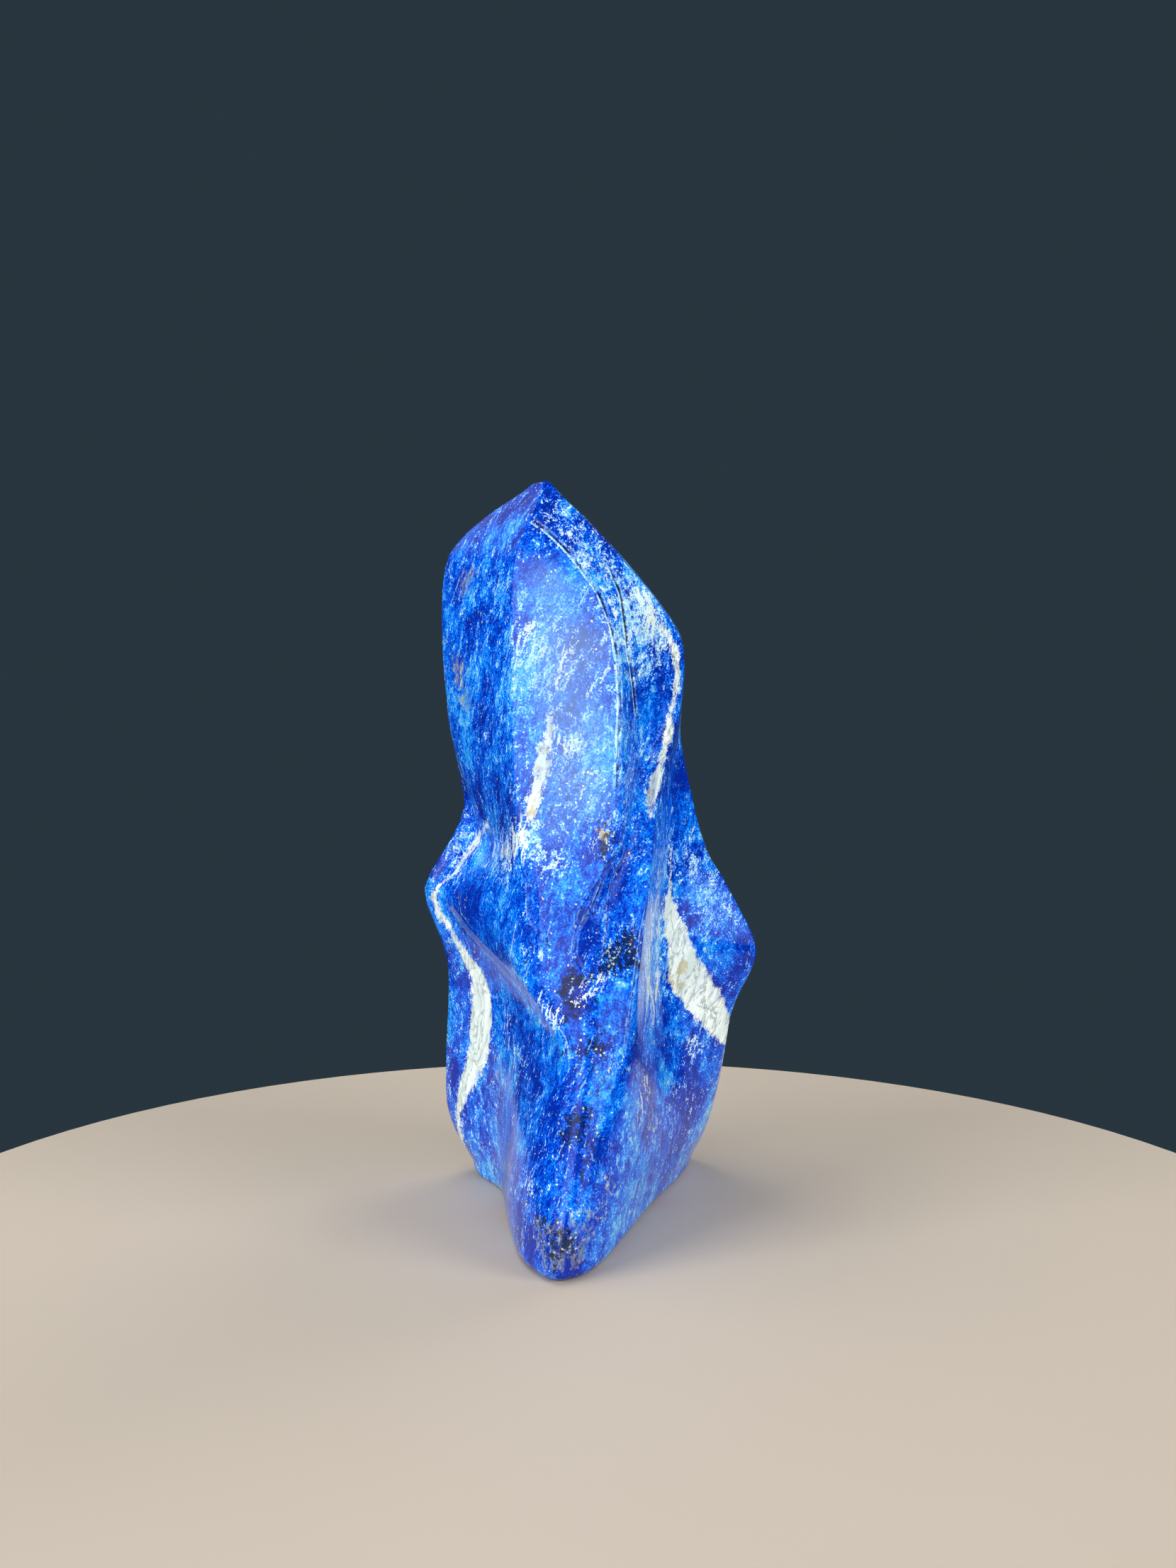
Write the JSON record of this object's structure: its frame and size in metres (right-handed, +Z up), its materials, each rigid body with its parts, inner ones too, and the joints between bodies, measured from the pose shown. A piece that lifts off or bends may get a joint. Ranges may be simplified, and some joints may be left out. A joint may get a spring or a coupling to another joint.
{
  "type": "lapis lazuli polished freeform stone",
  "caption": "Upright polished deep-blue mineral stone with ground facets, side wing and lobe, on a flat base, for display.",
  "frame": {"origin": "centre of the flat base the stone stands on", "axes": "+Z up along the standing stone's length, -Y towards the viewer of its broad ground front face, +X to that viewer's right"},
  "size_m": [0.0838, 0.1, 0.18],
  "materials": {
    "lapis_lazuli": "high polish, ultramarine to denim blue with cream calcite veins and pyrite specks"
  },
  "bodies": {
    "root": {"lapis_stone": "lapis_lazuli"}
  },
  "joints": []
}
